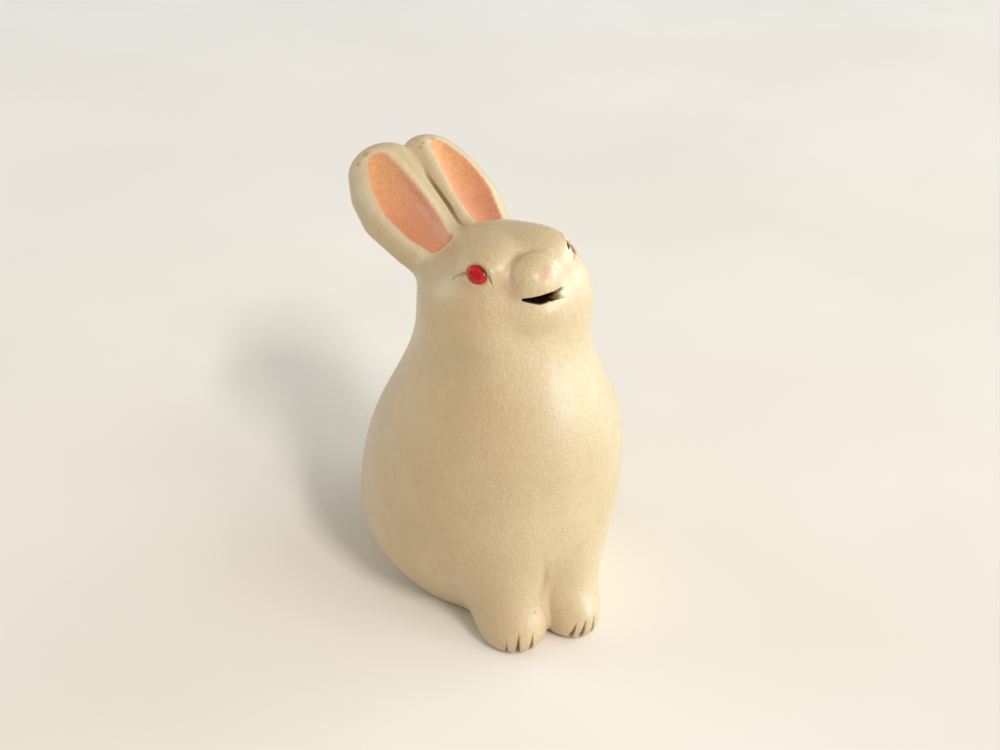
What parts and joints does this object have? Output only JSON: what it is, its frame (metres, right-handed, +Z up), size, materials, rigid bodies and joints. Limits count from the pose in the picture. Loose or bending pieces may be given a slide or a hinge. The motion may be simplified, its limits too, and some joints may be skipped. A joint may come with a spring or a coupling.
{
  "type": "ceramic rabbit figurine",
  "caption": "Glazed ceramic rabbit ornament that sits upright on a flat underside, with its head raised and its ears laid back side by side.",
  "frame": {"origin": "on the flat underside, at the middle of the figure's width and length", "axes": "+Z up; the rabbit's chest and paws face -Y; +X is the rabbit's left"},
  "size_m": [0.0548, 0.0712, 0.087],
  "materials": {
    "glazed_clay": "grainy cream glaze with a soft satin shine, salmon pink in the ear hollows and on the nose, glossy red in the eyes"
  },
  "bodies": {
    "root": {"rabbit": "glazed_clay"}
  },
  "joints": []
}
